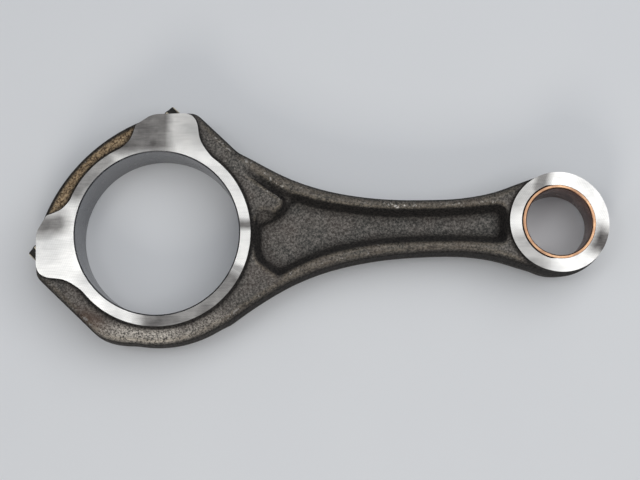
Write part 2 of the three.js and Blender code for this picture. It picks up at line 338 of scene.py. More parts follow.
# %% Milled steel
MARK_SPACING = 0.9 * MM
PAINTED_DARK_REFLECTIONS = [
    # centre x, y, half sizes, turn in degrees, how dark the painted reflection is
    (-9, 56, 18, 13, 0, 0.95),
    (20, 57, 14, 11, 0, 0.35),
    (-36, 33, 7, 17, -45, 0.75),
    (-58, 6, 10, 5.5, 8, 0.85),
    (-47, 24, 6, 5, -30, 0.6),
    (47, 3, 7, 2.6, 0, 0.9),
    (42, -20, 7, 2.0, -26, 0.6),
    (33, -34, 15, 8, 45, 0.85),
    (12, -45, 22, 7, 8, 0.9),
    (239, -10, 6, 8, -20, 1.0),
    (207, 22, 4, 9, -20, 0.8),
    (196, 14, 10, 9, 0, 0.45),
    (198, -16, 11, 12, 0, 0.6),
]


def rings(place, centre, spacing):
    """Fine circles about a centre, as a turning or milling insert leaves them."""
    moved = place.node("ShaderNodeVectorMath", {"operation": "SUBTRACT"}, {0: place, 1: centre}, 0)
    flat = place.node("ShaderNodeVectorMath", {"operation": "MULTIPLY"}, {0: moved, 1: (1, 1, 0)}, 0)
    far = place.node("ShaderNodeVectorMath", {"operation": "LENGTH"}, {0: flat}, "Value")
    return place.maths("SINE", far * (2 * math.pi / spacing), 0.0) * 0.5 + 0.5


def milled_steel():
    material, place, surface = new_material("milled_steel", (0.7, 0.7, 0.68, 1))
    weave = rings(place, rod_point(-60, 150), MARK_SPACING) + rings(place, rod_point(150, 60), MARK_SPACING)
    streaks = cloud(place.node("ShaderNodeMapping", {}, {0: place, 3: (0.1, 1, 1)}), 0.9 * MM, 4)
    haze = cloud(place, 14 * MM, 4)
    warp = cloud(place, 9 * MM, 3) - 0.5

    # Painted reflection: these patches darken the mirror-like milled faces where they would show something
    # dark.
    painted_dark_reflection = patches(place, PAINTED_DARK_REFLECTIONS, warp)

    steel = mixed(between(haze, 0.3, 0.7), (0.83, 0.82, 0.79, 1), (0.62, 0.62, 0.61, 1))
    steel = mixed(between(streaks, 0.45, 0.7) * 0.3, steel, (0.42, 0.41, 0.40, 1))
    steel = mixed(between(weave, 0.4, 1.6) * 0.3, steel, (0.38, 0.38, 0.375, 1))
    painted_reflection_colour = mixed(between(streaks, 0.3, 0.7), (0.12, 0.112, 0.108, 1), (0.062, 0.058, 0.057, 1))
    steel = mixed(painted_dark_reflection * between(haze, 0.2, 0.6, 0.75, 1), steel, painted_reflection_colour)

    feed(surface, {
        "Base Color": steel,
        "Metallic": 1.0,
        "Roughness": between(haze + painted_dark_reflection * 0.3, 0.3, 0.9, 0.30, 0.46),
        "Normal": bumped(streaks, 0.006 * MM, 0.5, bumped(weave * 0.5, 0.012 * MM, 0.6)),
    })
    return material


# %% [markdown]
# ## Bores, fracture and bolts
# A honed bore is a finer, darker mirror than a milled face. The fractured joint shows the steel's own
# grain, like broken sugar. Cap bolts leave the factory in black phosphate, which rubs off on the lobes
# and the thread crests.

# %% Honed and fractured steel
def honed_steel():
    material, place, surface = new_material("honed_steel", (0.4, 0.4, 0.4, 1))
    haze = cloud(place, 12 * MM, 3)
    lines = cloud(place.node("ShaderNodeMapping", {}, {0: place, 3: (0.2, 0.2, 1)}), 0.25 * MM)
    steel = mixed(haze, (0.13, 0.13, 0.14, 1), (0.25, 0.25, 0.26, 1))
    feed(surface, {
        "Base Color": mixed(between(lines, 0.4, 0.7) * 0.4, steel, (0.20, 0.20, 0.21, 1)),
        "Metallic": 1.0,
        "Roughness": between(haze, 0.3, 0.7, 0.20, 0.32),
        "Normal": bumped(lines, 0.004 * MM, 0.5),
    })
    return material


def fractured_steel():
    material, place, surface = new_material("fractured_steel", (0.3, 0.3, 0.3, 1))
    facets = place.node("ShaderNodeTexVoronoi", {}, {"Vector": place, "Scale": 1 / (0.7 * MM)}, "Distance")
    grit = cloud(place, 0.4 * MM)
    feed(surface, {
        "Base Color": mixed(between(facets, 0.1, 0.6), (0.34, 0.33, 0.32, 1), (0.14, 0.14, 0.14, 1)),
        "Metallic": 0.9,
        "Roughness": between(grit, 0.3, 0.7, 0.40, 0.65),
        "Normal": bumped(facets, 0.25 * MM, 0.9),
    })
    return material


# %% Bolt steel and bronze
def phosphated_steel():
    material, place, surface = new_material("phosphated_steel", (0.1, 0.1, 0.1, 1))
    wear = attribute(place, "wear")
    stain = cloud(place, 3 * MM, 4)
    grit = cloud(place, 0.3 * MM)
    coat = mixed(between(stain, 0.35, 0.65), (0.016, 0.014, 0.018, 1), (0.036, 0.034, 0.026, 1))
    rubbed = between(wear + (stain - 0.5) * 0.3, 0.3, 0.8)
    feed(surface, {
        "Base Color": mixed(rubbed, coat, (0.80, 0.72, 0.55, 1)),
        "Metallic": between(rubbed, 0, 1, 0.4, 1.0),
        "Roughness": between(grit, 0.3, 0.7, 0.36, 0.50) - rubbed * 0.1,
        "Normal": bumped(grit, 0.03 * MM, 0.6),
    })
    return material


def turned_bronze():
    material, place, surface = new_material("turned_bronze", (0.6, 0.35, 0.2, 1))
    steep = attribute(place, "steep")
    tarnish = cloud(place, 9 * MM, 4)
    turned = cloud(place.node("ShaderNodeMapping", {}, {0: place, 3: (0.06, 0.06, 1)}), 0.35 * MM)
    # Painted light and shade: the end faces get a lighter bronze and the steep walls and chamfers a darker
    # one, as lit and shaded copies of the same bronze.
    face = mixed(between(tarnish, 0.35, 0.65), (0.60, 0.37, 0.22, 1), (0.42, 0.235, 0.14, 1))
    painted_shade_wall = mixed(between(tarnish, 0.35, 0.65), (0.22, 0.115, 0.085, 1), (0.12, 0.065, 0.058, 1))
    bronze_with_painted_light = mixed(between(steep, 0.05, 0.35), face, painted_shade_wall)
    feed(surface, {
        "Base Color": mixed(between(turned, 0.4, 0.7) * 0.3, bronze_with_painted_light, (0.12, 0.06, 0.05, 1)),
        "Metallic": 1.0,
        "Roughness": between(tarnish, 0.3, 0.7, 0.22, 0.34),
        "Normal": bumped(turned, 0.004 * MM, 0.5),
    })
    return material


FORGED, MILLED, HONED, FRACTURED = range(4)
steels = [peened_steel(), milled_steel(), honed_steel(), fractured_steel()]
bolt_finish = phosphated_steel()
bronze = turned_bronze()
print("materials:", [m.name for m in [*steels, bolt_finish, bronze]])

# %% [markdown]
# ## Drawing outlines
# A forging is drawn as a plan outline first. Straight runs need only their ends. Round stretches come
# from an arc, from one bend between two straights, or from a smooth curve laid through a few points.

# %% Outline helpers
def points(*pairs):
    return [Vector((x, y, 0)) for x, y in pairs]


def arc(centre, radius, start, end, steps=24):
    """Points on an arc between two angles in degrees."""
    angles = [math.radians(start + (end - start) * i / steps) for i in range(steps + 1)]
    return points(*[(centre[0] + radius * math.cos(a), centre[1] + radius * math.sin(a)) for a in angles])


def bend(start, corner, end, steps=6):
    """A rounded corner from start to end, pulled towards the corner point."""
    start, corner, end = points(start, corner, end)
    return geometry.interpolate_bezier(start, start.lerp(corner, 2 / 3), end.lerp(corner, 2 / 3), end, steps)


def smooth(*pairs, steps=5):
    """A smooth curve through the given points."""
    through = points(*pairs)
    padded = [through[0], *through, through[-1]]
    line = []
    for before, start, end, after in zip(padded, padded[1:], padded[2:], padded[3:]):
        leave = start + (end - before) / 6
        arrive = end - (after - start) / 6
        line += geometry.interpolate_bezier(start, leave, arrive, end, steps + 1)[:-1]
    return [*line, through[-1]]


def mirrored(line):
    """The same line on the other side of the Y axis, still in order round the outline."""
    return [Vector((-p.x, p.y, 0)) for p in reversed(line)]


# %% [markdown]
# ## Solids from outlines
# A die opens upwards, so a forging's sides lean in from its parting line. `leaning` extrudes the outline
# a little for the parting line's land and then insets both faces while it moves them apart: one operator
# gives the lean and the height. A second, flatter step gives a blank its broken shoulder. A cutter for a
# pocket is the same thing upside down.

# %% Solid helpers
PARTING_LAND = 0.6


def new_object(name, shape, finish=FORGED):
    """A bmesh as an object with all the steels on it, and one of them on its faces."""
    bmesh.ops.recalc_face_normals(shape, faces=shape.faces)
    for face in shape.faces:
        face.material_index = finish
    mesh = bpy.data.meshes.new(name)
    shape.to_mesh(mesh)
    shape.free()
    for steel in steels:
        mesh.materials.append(steel)
    made = bpy.data.objects.new(name, mesh)
    scene.collection.objects.link(made)
    return made


def prism(outline, low, high):
    """A straight solid on an outline, with its bottom and top faces."""
    shape = bmesh.new()
    spaced = [p for p, before in zip(outline, [outline[-1], *outline]) if (p - before).length > 0.05]
    bottom = shape.faces.new([shape.verts.new((p.x, p.y, low)) for p in spaced])
    grown = bmesh.ops.extrude_face_region(shape, geom=[bottom])["geom"]
    top = next(g for g in grown if isinstance(g, bmesh.types.BMFace))
    bmesh.ops.translate(shape, verts=top.verts, vec=(0, 0, high - low))
    bmesh.ops.recalc_face_normals(shape, faces=shape.faces)
    return shape, bottom, top


def lean_in(shape, face, sideways, height):
    """Insets one face and raises it at the same time."""
    bmesh.ops.inset_region(shape, faces=[face], thickness=sideways, depth=height, use_even_offset=True)


def leaning(outline, half_height, lean, shoulder=(0, 0)):
    """Both halves of a forged shape, which lean in from the parting line at mid-thickness."""
    shape, bottom, top = prism(outline, -PARTING_LAND / 2, PARTING_LAND / 2)
    for face in (bottom, top):
        lean_in(shape, face, lean, half_height - shoulder[1] - PARTING_LAND / 2)
        if shoulder[1] > 0:
            lean_in(shape, face, *shoulder)
    return shape


def modified(piece, kind, **settings):
    """Adds one modifier and makes its result the piece's own mesh."""
    step = piece.modifiers.new(kind, kind)
    for key, value in settings.items():
        setattr(step, key, value)
    graph = bpy.context.evaluated_depsgraph_get()
    mesh = bpy.data.meshes.new_from_object(piece.evaluated_get(graph))
    piece.modifiers.clear()
    piece.data, old = mesh, piece.data
    bpy.data.meshes.remove(old)
    return piece


def combined(piece, operation, *others):
    """A union, difference or intersection with other pieces, which are used up."""
    for other in others:
        modified(piece, "BOOLEAN", operation=operation, solver="MANIFOLD", object=other)
        bpy.data.objects.remove(other)
    return piece


def welded(name, *shapes):
    """Several overlapping solids as one object."""
    together = bmesh.new()
    for shape in shapes:
        part = bpy.data.meshes.new("part")
        shape.to_mesh(part)
        shape.free()
        together.from_mesh(part)
        bpy.data.meshes.remove(part)
    return new_object(name, together)


# %% [markdown]
# ## The outlines of the forging
# The big end's outline is symmetrical about the cap's lift line, apart from the bulge round the lower
# bolt's end. An ear is the thick pad over a bolt. The shank is an hourglass that flares into both ends.

# %% Outlines
BIG_END_R = 61.2
CROWN_R = 95
CAP_HEIGHT = 59.2
FLANK = 62.6
CROWN_HALF_ANGLE = 29.5


def big_end_outline():
    shoulder = bend((FLANK, 29), (FLANK, 32.2), (60.3, 34.5))
    shoulder += bend((52.2, 42.6), (50, 44.8), (46.8, 46.9))
    crown = arc((0, CAP_HEIGHT - CROWN_R), CROWN_R, 90 - CROWN_HALF_ANGLE, 90 + CROWN_HALF_ANGLE)
    bulge = bend((-FLANK, -12.5), (-FLANK, -22), (-51.4, -33.2), 8)
    lower = arc((0, 0), BIG_END_R, 212.9, 350.6, 48)
    return [*points((FLANK, -10)), *shoulder, *crown, *mirrored(shoulder), *bulge, *lower]


def ear_outline(side):
    inner = [*points((12, 12), (4, 44), (10.5, 50)), *smooth((18, 48.6), (26, 48.3), (34, 51.9))]
    corner = bend((43.6, 49.6), (46.7, 48.3), (49.3, 45.5))
    outer = smooth((59, 35.8), (61, 31), (59.6, 24.9), (53.8, 16.5), (51.4, 4))
    return [Vector((side * p.x, p.y, 0)) for p in [*inner, *corner, *outer, *points((44, -1))]]


def shank_outline():
    upper = smooth((51.7, 40.2), (69.5, 30.2), (87, 23.3), (105, 18.9), (125, 16.2), (148, 15.3),
                   (165, 15.8), (181, 18.3), (195, 22.8), (207, 26.8))
    lower = smooth((207, -26.8), (195, -22.8), (181, -18.3), (165, -15.8), (148, -15.3), (125, -16.2),
                   (105, -18.9), (87, -23.3), (69.5, -30.2), (51.7, -40.2), (37.8, -49.6))
    inside = points((20, -57.8), (15, -35), (30, 30), (44.3, 44.3))
    return [*upper, *points((CENTRES, 18), (CENTRES, -18)), *lower, *inside]


print("outlines of", len(big_end_outline()), len(ear_outline(1)), "and", len(shank_outline()), "points")


# %% [markdown]
# The pocket between the I-beam's flanges is widest at the big end, where it wraps round the nose of the
# upper bolt's boss. Its outline is drawn at the forged face.

# %% Pocket outline
def pocket_outline():
    left = [*bend((51.3, -10.5), (51.3, -15.8), (55.5, -19.2)), *points((65, -26.2))]
    lower = smooth((69.5, -23), (87, -15.8), (106, -11.4), (128, -9.3), (160, -9.3), (182, -10.8))
    end = [*bend((182, -10.8), (188.3, -11.3), (188.8, -6)), *bend((188.8, 6), (188.3, 11.3), (182, 11))]
    upper = smooth((182, 11), (160, 9.6), (128, 10), (106, 12.2), (87, 15.8), (78, 18.8))
    nose = [*bend((78, 18.8), (69, 22), (67.3, 15)), *bend((67.3, 15), (66.5, 10.8), (61, 8.8))]
    return [*left, *lower, *end, *upper, *nose, *points((51.5, 5.2))]


print("pocket outline of", len(pocket_outline()), "points")


# %% [markdown]
# ## Pressing the forging
# The blanks of the big end and the shank are welded, and the pockets and the slopes round the boss are
# pressed into both faces. A voxel remesh turns them into one even skin, and smoothing that skin rounds
# every edge and corner, as a die does, where a bevel would have to solve each corner alone. Pads for the
# ears, the thrust ring and the small end come second, with less smoothing, because the dies are sharper
# there.

# %% Press the beam
FORGED_HALF = 13.8
MILLING_STOCK = 3
STOCK_HALF = THICKNESS / 2 + MILLING_STOCK
BLANK_LEAN = 0.9
BLANK_SHOULDER = (2.3, 3.0)
EAR_LEAN = 2.2
EYE_LEAN = 1.4
EYE_R = 28.3
THRUST_RING_R = 50.2
WEB_HALF = 3.5
POCKET_LEAN = 4.4
POCKET_SHIFT = 0.8
RING_LEAN = 6.5
PAD_STEPS = 96
VOXEL = 0.85


def pocket_cutter(side):
    """The punch of one die, for the top (1) or bottom (-1) face."""
    shape, bottom, top = prism(pocket_outline(), FORGED_HALF, FORGED_HALF + 8)
    lean_in(shape, bottom, POCKET_LEAN, FORGED_HALF - WEB_HALF)
    bmesh.ops.translate(shape, verts=bottom.verts, vec=(0, POCKET_SHIFT, 0))
    bmesh.ops.scale(shape, verts=shape.verts, vec=(1, 1, side))
    return new_object("pocket", shape)


def slope_cutter(side, crest, foot):
    """A slope from a crest line down to a foot line, and all that is above it."""
    above = [(x, y, STOCK_HALF) for x, y, _ in crest + foot]
    shape = bmesh.new()
    for x, y, z in crest + foot + above:
        shape.verts.new((x, y, z * side))
    bmesh.ops.convex_hull(shape, input=shape.verts)
    return new_object("slope", shape)


def valley_cutter(side):
    """From the flange's crest down to the foot of the boss, which stands steeply beside it."""
    return slope_cutter(side, [(45, 37, 13.9), (71.5, 21.5, 13.9)], [(47, 32, 12.9), (73, 12.8, 3.4)])


def saddle_cutter(side):
    """From the boss's near end down to the pocket's floor beside the thrust ring."""
    return slope_cutter(side, [(52, 11.5, 13.9), (61, 12.5, 13.9)], [(54.8, -2.5, 4.6), (64.5, 3.5, 4.4)])


blanks = [leaning(outline, FORGED_HALF, BLANK_LEAN, BLANK_SHOULDER)
          for outline in ([CAP @ p for p in big_end_outline()], shank_outline())]
forging = welded("forging", *blanks)
modified(forging, "REMESH", mode="VOXEL", voxel_size=VOXEL)
cutters = [cut(side) for cut in (pocket_cutter, valley_cutter, saddle_cutter) for side in (1, -1)]
combined(forging, "DIFFERENCE", *cutters)
modified(forging, "REMESH", mode="VOXEL", voxel_size=VOXEL)
modified(forging, "SMOOTH", factor=0.5, iterations=14)
print("beam:", len(forging.data.polygons), "faces")

# %% Add the pads
taller = STOCK_HALF / (THICKNESS / 2)
pads = [leaning([CAP @ p for p in ear_outline(side)], STOCK_HALF, EAR_LEAN * taller) for side in (1, -1)]
pads.append(leaning(arc((CENTRES, 0), EYE_R, 0, 360, PAD_STEPS)[:-1], STOCK_HALF, EYE_LEAN * taller))
ring_foot = THRUST_RING_R + RING_LEAN * (THICKNESS - PARTING_LAND) / (2 * STOCK_HALF - PARTING_LAND)
pads.append(leaning(arc((0, 0), ring_foot, 0, 360, PAD_STEPS)[:-1], STOCK_HALF, RING_LEAN))
for pad in pads:
    combined(forging, "UNION", new_object("pad", pad))
modified(forging, "REMESH", mode="VOXEL", voxel_size=VOXEL)
modified(forging, "SMOOTH", factor=0.5, iterations=4)
print("forging:", len(forging.data.polygons), "faces")

# %% [markdown]
# ## Milling and boring
# The real forging goes to the machines with stock on its pads. Here too: one box-shaped tool keeps only
# what lies between the faces, with the small end's wedge on its far end, and two more bore the ends. Each
# cut gives its own steel to the faces that it leaves.

# %% Cutting tools
SEGMENTS = 192
BIG_BORE_R = 44
BORE_CHAMFER = 0.7
BORE_FLARE = 20
BUSH_SEAT_GAP = 0.05
BUSH_OUTER_R = 19.9
WEDGE_START = CENTRES - 6.3
WEDGE_ANGLE = math.radians(11)
FAR = 400


def cylinder(radius, height, at=(0, 0, 0), turn=Matrix(), end_radius=None):
    """A closed cylinder or cone along Z about a point, then turned."""
    shape = bmesh.new()
    ends = {"radius1": radius, "radius2": radius if end_radius is None else end_radius}
    lie = turn @ Matrix.Translation(at)
    bmesh.ops.create_cone(shape, cap_ends=True, segments=SEGMENTS, depth=height, matrix=lie, **ends)
    return shape


def full_spin(shape, profile, centre, steps):
    """Turns a profile once round an upright axis, and closes the seam and the poles."""
    spin = {"cent": centre, "axis": (0, 0, 1), "angle": 2 * math.pi, "steps": steps, "use_merge": True}
    bmesh.ops.spin(shape, geom=profile, **spin)
    bmesh.ops.remove_doubles(shape, verts=shape.verts, dist=0.001)


def sliced(shape, at, outward):
    """Cuts off all that lies beyond a plane and closes the cut."""
    geom = shape.verts[:] + shape.edges[:] + shape.faces[:]
    cut = bmesh.ops.bisect_plane(shape, geom=geom, plane_co=at, plane_no=outward, clear_outer=True)
    rim = [g for g in cut["geom_cut"] if isinstance(g, bmesh.types.BMEdge)]
    bmesh.ops.contextual_create(shape, geom=rim)


def chamfered_bore(radius, x):
    """A boring tool that also breaks both edges of its hole."""
    half = THICKNESS / 2
    wide = radius + BORE_FLARE
    edge = BORE_CHAMFER - half
    profile = [(0, -FAR), (wide, -FAR), (wide, edge - BORE_FLARE), (radius, edge)]
    profile += [(r, -z) for r, z in reversed(profile)]
    shape = bmesh.new()
    corners = [shape.verts.new((x + r, 0, z)) for r, z in profile]
    edges = [shape.edges.new(pair) for pair in zip(corners, corners[1:])]
    full_spin(shape, corners + edges, (x, 0, 0), SEGMENTS)
    return new_object("bore", shape, HONED)


def milled_envelope():
    """All that is left after the faces and the small end's two slopes are milled."""
    shape = bmesh.new()
    bmesh.ops.create_cube(shape, size=1, matrix=Matrix.Diagonal((2 * FAR, FAR, THICKNESS, 1)))
    for side in (1, -1):
        slope = (math.sin(WEDGE_ANGLE), 0, side * math.cos(WEDGE_ANGLE))
        sliced(shape, (WEDGE_START, 0, side * THICKNESS / 2), slope)
    return new_object("envelope", shape, MILLED)


# %% Machine the forging
combined(forging, "INTERSECT", milled_envelope())
combined(forging, "DIFFERENCE", chamfered_bore(BIG_BORE_R, 0))
combined(forging, "DIFFERENCE", chamfered_bore(BUSH_OUTER_R + BUSH_SEAT_GAP, CENTRES))
print("machined:", len(forging.data.polygons), "faces")

# %% [markdown]
# ## Cracking the cap off
# A laser notch and a wedge crack the big end along a line. No saw takes any steel away, so the two rough
# faces fit together exactly, and the joint is a line that the eye hardly finds. One rough sheet cuts both
# sides here: it is the lower face of a block that stands on the cap's side.

# %% Crack the big end
CRACK_ROUGH = 0.25
CRACK_GRAIN = 3
CRACK_GAP = 0.02
CAP_BLOCK = 150


def cap_side(offset):
    """Everything on the cap's side of the rough joint, which is raised by the offset."""
    shape = bmesh.new()
    lie = CAP @ Matrix.Rotation(math.radians(90), 4, "X")
    steps = ((180, 52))
    bmesh.ops.create_grid(shape, x_segments=steps[0], y_segments=steps[1], size=1,
                          matrix=lie @ Matrix.Diagonal((70, 20, 1, 1)))
    up = CAP @ Vector((0, 1, 0))
    for vert in shape.verts:
        grain = noise.fractal(vert.co / CRACK_GRAIN, 1, 2, 3)
        vert.co += up * (offset + CRACK_ROUGH * grain)
    sheet = shape.faces[:]
    grown = bmesh.ops.extrude_face_region(shape, geom=sheet)["geom"]
    raised = [g for g in grown if isinstance(g, bmesh.types.BMVert)]
    bmesh.ops.translate(shape, verts=raised, vec=up * CAP_BLOCK)
    return new_object("cap_side", shape, FRACTURED)


cap = bpy.data.objects.new("cap_body", forging.data.copy())
scene.collection.objects.link(cap)
combined(cap, "INTERSECT", cap_side(CRACK_GAP / 2))
rod = combined(forging, "DIFFERENCE", cap_side(-CRACK_GAP / 2))
rod.name = "rod_forging"
print("rod", len(rod.data.polygons), "faces, cap", len(cap.data.polygons), "faces")

# %% [markdown]
# ## Bolt holes
# Each bolt passes through the cap in a clear hole, from a flat seat that a spot-facing tool cuts into the
# ear's shoulder, and screws into a blind hole in the rod.

# %% Drill and spot-face
BOLT_OFFSET = 51.2
BOLT_SEAT = 32
SEAT_R = 9.6
CAP_HOLE_R = 5.9
THREAD_HOLE_R = 5.6
THREAD_HOLE_DEPTH = 21
DRILL_CONE = 2.5
CLEAR_BELOW = 20
CLEAR_ABOVE = 70
TO_BOLT = CAP @ Matrix.Rotation(math.radians(-90), 4, "X")


def drill(side, radius, low, high, finish, end_radius=None):
    """A cutter along one bolt's axis, between two heights above the joint."""
    at = (side * BOLT_OFFSET, 0, (low + high) / 2)
    return new_object("drill", cylinder(radius, high - low, at, TO_BOLT, end_radius), finish)


for side in (1, -1):
    combined(cap, "DIFFERENCE", drill(side, CAP_HOLE_R, -CLEAR_BELOW, CLEAR_ABOVE, HONED))
    combined(cap, "DIFFERENCE", drill(side, SEAT_R, BOLT_SEAT, CLEAR_ABOVE, MILLED))
    combined(rod, "DIFFERENCE", drill(side, THREAD_HOLE_R, -THREAD_HOLE_DEPTH, CLEAR_BELOW, HONED))
    cone_low = -THREAD_HOLE_DEPTH - DRILL_CONE
    combined(rod, "DIFFERENCE", drill(side, 0.01, cone_low, 0.1 - THREAD_HOLE_DEPTH, HONED, THREAD_HOLE_R))
print("drilled: rod", len(rod.data.polygons), "faces, cap", len(cap.data.polygons), "faces")

# %% [markdown]
# ## Finishing a mesh
# The last steps are the same for every steel piece: it is placed, sharp edges are kept sharp and the rest
# shaded smooth. The attributes compare each point with the middle of its neighbours: on a crest the
# neighbours lie below it, in an inner corner above it, and the inner corners get painted shade. A few
# rounds of averaging spread the wear over a millimetre or two, as real rubbing does, and soften the edge
# of the painted shade. The edges of the cracked joint were never rubbed, since the two sides are always
# bolted together.

# %% Surface relief
WEAR_ROUNDS = 3
PAINTED_SHADE_ROUNDS = 2
FULL_WEAR = 0.06
FULL_PAINTED_SHADE = 0.16
JOINT_NORMAL = CAP @ Vector((0, 1, 0))
JOINT_PLACE = JOINT_NORMAL.dot(BIG_END)
JOINT_CLEAR = 1.5 * MM


def read(collection, name, width, kind=numpy.float32):
    """One property of every vertex or edge of a mesh, as rows of an array."""
    values = numpy.empty(len(collection) * width, kind)
    collection.foreach_get(name, values)
    return values.reshape(-1, width)


def averaging(mesh):
    """A function that gives each vertex the mean value of its neighbours."""
    one, other = read(mesh.edges, "vertices", 2, numpy.int32).T
    count = len(mesh.vertices)
    meetings = numpy.maximum(numpy.bincount(one, minlength=count) + numpy.bincount(other, minlength=count), 1)

    def around(values):
        there = numpy.bincount(one, values[other], count) + numpy.bincount(other, values[one], count)
        return there / meetings

    return around


def relief(mesh, around):
    """How far each vertex stands out of its neighbours, as a part of its edges' length."""
    spots = read(mesh.vertices, "co", 3)
    outward = read(mesh.vertex_normals, "vector", 3)
    middle = numpy.stack([around(column) for column in spots.T], 1)
    spread = numpy.sqrt(numpy.maximum(around((spots ** 2).sum(1)) - (middle ** 2).sum(1), 1e-12))
    return ((spots - middle) * outward).sum(1) / spread


def add_attribute(mesh, name, values):
    """One number for each vertex, which a material can read by its name."""
    layer = mesh.attributes.new(name, "FLOAT", "POINT")
    layer.data.foreach_set("value", numpy.asarray(values, numpy.float32))


def mark_surface(mesh, wear):
    """Adds the wear and steep attributes, and the corner attribute for painted shade. Wear that isn't given
    is worked out.
    """
    around = averaging(mesh)
    standing = relief(mesh, around)
    # Painted shade: the inner corners, which lie below their neighbours, are marked for darkening.
    hollow = numpy.clip(-standing / FULL_PAINTED_SHADE, 0, 1)
    steep = 1 - numpy.abs(read(mesh.vertex_normals, "vector", 3)[:, 2])
    steep = (steep + around(steep)) / 2
    if wear is None:
        along = read(mesh.vertices, "co", 3) @ numpy.array(JOINT_NORMAL)
        off_joint = numpy.abs(along - JOINT_PLACE) / JOINT_CLEAR
        wear = numpy.clip(standing / FULL_WEAR, 0, 1) * numpy.clip(off_joint - 0.5, 0, 1)
        for _ in range(WEAR_ROUNDS):
            wear = (wear + around(wear)) / 2
    for _ in range(PAINTED_SHADE_ROUNDS):
        hollow = (hollow + around(hollow)) / 2
    add_attribute(mesh, "wear", wear)
    add_attribute(mesh, "hollow", hollow)
    add_attribute(mesh, "steep", steep)


# %% Finish the rod and the cap
def finished(piece, name, body, node, wear=None):
    """Places a piece, shades it, marks its wear and hands it to the frame."""
    mesh = piece.data
    mesh.transform(PLACE)
    mesh.shade_smooth()
    mesh.set_sharp_from_angle(angle=math.radians(35))
    mark_surface(mesh, wear)
    piece.name = name
    mesh.name = name
    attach(piece, body)
    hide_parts(node)
    print(f"{name}: {len(mesh.polygons)} faces")
    return piece


finished(rod, "forged_rod", "rod", "rod_body")
finished(cap, "forged_cap", "cap", "rod_cap")

# %% [markdown]
# A tan bloom of rust sits on the cap's crown, so it is one more attribute, which is 0 all over the rod.
# Painted shade darkens the crown's two edges and a band round the foot of the thrust ring, and it is added
# to the corner shade there.

# %% Tan bloom
CROWN_EDGE = 4.0
RING_EDGE = 52.4
BLOOM_START = 20
BLOOM_RAMP = 18
BLOOM_HALF_WIDTH = 46
BLOOM_FADE = 8


def tan_bloom(piece, strength):
    """Adds the tan attribute, and painted shade along the crown's edges and round the ring's foot. Distances
    are in millimetres in the cap's frame.
    """
    mesh = piece.data
    to_cap = numpy.array((PLACE @ CAP).inverted())
    across, along = (read(mesh.vertices, "co", 3) @ to_cap[:2, :3].T + to_cap[:2, 3]).T
    band = strength * numpy.clip((along - BLOOM_START) / BLOOM_RAMP, 0, 1)
    band *= numpy.clip((BLOOM_HALF_WIDTH - abs(across)) / BLOOM_FADE, 0, 1)
    inside = CROWN_R - numpy.hypot(across, along + CROWN_R - CAP_HEIGHT)
    # Painted shade along the crown's edges and round the thrust ring's foot.
    painted_crown_edge_shade = numpy.clip(CROWN_EDGE - inside, 0, 1) * band
    painted_ring_foot_shade = numpy.clip(RING_EDGE - numpy.hypot(across, along), 0, 1)
    hollow = mesh.attributes["hollow"].data
    painted_dark = numpy.maximum(read(hollow, "value", 1)[:, 0], numpy.maximum(painted_crown_edge_shade, painted_ring_foot_shade))
    hollow.foreach_set("value", painted_dark.astype(numpy.float32))
    add_attribute(mesh, "tan", band)
    print(f"{piece.name}: {(band > 0).sum()} tan vertices")


tan_bloom(rod, 0.0)
tan_bloom(cap, 0.8)

# %% [markdown]
# ## The piston-pin bush
# A bronze ring is pressed into the small end and faced off together with it, so it has the same wedge.
# Its profile is spun about the pin's axis, the slopes are bisected off, and the inner rims are bevelled
# so that the pin slides in without scraping.

# %% Bush
BUSH_BORE_R = 18
BUSH_DROP = 0.1
BUSH_INNER_BEVEL = 0.8
BUSH_OUTER_BEVEL = 0.15


def bush_shape():
    half = THICKNESS / 2 - BUSH_DROP
    shape = bmesh.new()
    profile = [(BUSH_BORE_R, -half), (BUSH_OUTER_R, -half), (BUSH_OUTER_R, half), (BUSH_BORE_R, half)]
    corners = [shape.verts.new((CENTRES + r, 0, z)) for r, z in profile]
    edges = [shape.edges.new(pair) for pair in zip(corners, [*corners[1:], corners[0]])]
    full_spin(shape, corners + edges, (CENTRES, 0, 0), SEGMENTS)
    bmesh.ops.recalc_face_normals(shape, faces=shape.faces)
    return shape


def bush():
    """The bush, faced off a hair lower than the steel round it."""
    envelope = milled_envelope()
    envelope.data.transform(Matrix.Diagonal((1, 1, 1 - 2 * BUSH_DROP / THICKNESS, 1)))
    return combined(new_object("bush", bush_shape()), "INTERSECT", envelope)


def bevelled_rims(piece, radius, width):
    """Breaks the edges that lie on one cylinder about the small end's axis."""
    shape = bmesh.new()
    shape.from_mesh(piece.data)
    bmesh.ops.remove_doubles(shape, verts=shape.verts, dist=0.001)

    def on_wall(vert):
        return abs(math.hypot(vert.co.x - CENTRES, vert.co.y) - radius) < 0.02

    def is_rim(edge):
        return all(on_wall(v) for v in edge.verts) and edge.calc_face_angle(0) > math.radians(50)

    rims = [edge for edge in shape.edges if is_rim(edge)]
    bmesh.ops.bevel(shape, geom=rims, offset=width, affect="EDGES", segments=3, profile=0.5, material=-1)
    shape.to_mesh(piece.data)
    shape.free()
    return piece


small_bush = bush()
bevelled_rims(small_bush, BUSH_BORE_R, BUSH_INNER_BEVEL)
bevelled_rims(small_bush, BUSH_OUTER_R, BUSH_OUTER_BEVEL)
small_bush.data.materials.clear()
small_bush.data.materials.append(bronze)
finished(small_bush, "bronze_bush", "rod", "piston_pin_bush")

# %% [markdown]
# ## The cap bolts
# A cap bolt has a six-lobed head on a broad flange, a fitted shank, a slim waist that stretches as it is
# tightened, and a rolled thread. Its plain parts are one spun profile. The thread is a zigzag spun with
# a rise of one pitch in each turn: after a full turn its points meet their neighbours, so one spin and a
# merge make the whole helix.

